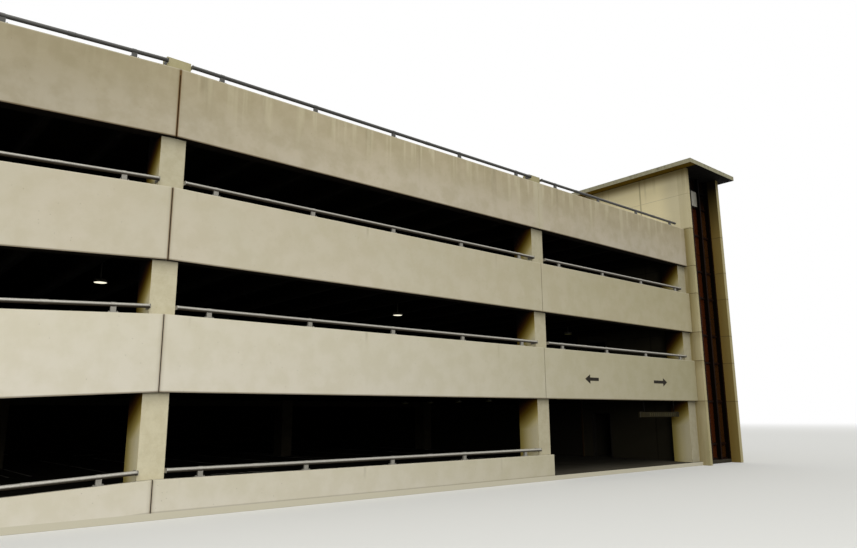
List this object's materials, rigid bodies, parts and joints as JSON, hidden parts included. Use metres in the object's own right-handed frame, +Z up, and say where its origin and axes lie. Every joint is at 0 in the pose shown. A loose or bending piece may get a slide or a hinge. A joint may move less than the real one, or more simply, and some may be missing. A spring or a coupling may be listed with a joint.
{
  "type": "multi storey car park",
  "caption": "Multi storey precast concrete car park with ramped end bay, banded panels and railings, open vehicle entrance and glazed stair tower.",
  "frame": {"origin": "on the ground at the centre of the parking decks' footprint, under the ground slab", "axes": "+X along the street front towards the stair tower, +Y from the street front into the building, +Z up"},
  "size_m": [37.705, 37.495, 13.74],
  "materials": {
    "bar_paint": "faded yellow paint",
    "deck_concrete": "broomed deck concrete",
    "frame_paint": "red-brown baked paint",
    "galvanised_steel": "dull galvanised steel",
    "lamp_diffuser": "pale housing and aged diffuser",
    "pale_panel": "pale grey paint",
    "precast_panels": "weathered precast concrete with faint streaks",
    "roof_slab": "weathered concrete roof slab",
    "structural_concrete": "plain grey-brown structural concrete",
    "tower_concrete": "weathered precast concrete",
    "tower_glass": "dark tinted glass"
  },
  "bodies": {
    "root": {"barrier_rails": "galvanised_steel", "ceiling_lamps": "lamp_diffuser", "clearance_bar": "bar_paint", "front_barrier_wall": "precast_panels", "front_columns": "structural_concrete", "front_deck_level_2": "deck_concrete", "front_deck_level_3": "deck_concrete", "front_deck_roof": "deck_concrete", "front_panels_level_2": "precast_panels", "front_panels_level_3": "precast_panels", "front_panels_roof": "precast_panels", "front_rails": "galvanised_steel", "ground_slab": "deck_concrete", "left_ground_wall": "precast_panels", "left_panels_level_2": "precast_panels", "left_panels_level_3": "precast_panels", "left_panels_roof": "precast_panels", "left_rails": "galvanised_steel", "middle_beams_level_2": "structural_concrete", "middle_beams_level_3": "structural_concrete", "middle_beams_roof": "structural_concrete", "middle_columns": "structural_concrete", "rear_columns": "structural_concrete", "rear_deck_level_2": "deck_concrete", "rear_deck_level_3": "deck_concrete", "rear_deck_roof": "deck_concrete", "rear_ground_wall": "precast_panels", "rear_panels_level_2": "precast_panels", "rear_panels_level_3": "precast_panels", "rear_panels_roof": "precast_panels", "rear_rails": "galvanised_steel", "right_ground_wall": "precast_panels", "right_panels_level_2": "precast_panels", "right_panels_level_3": "precast_panels", "right_panels_roof": "precast_panels", "right_rails": "galvanised_steel", "right_upper_walls": "precast_panels", "tower_floors": "structural_concrete", "tower_frame": "frame_paint", "tower_glass": "tower_glass", "tower_left_wall": "tower_concrete", "tower_rear_wall": "tower_concrete", "tower_right_wall": "tower_concrete", "tower_roof": "roof_slab", "tower_vent_panel": "pale_panel"}
  },
  "joints": []
}
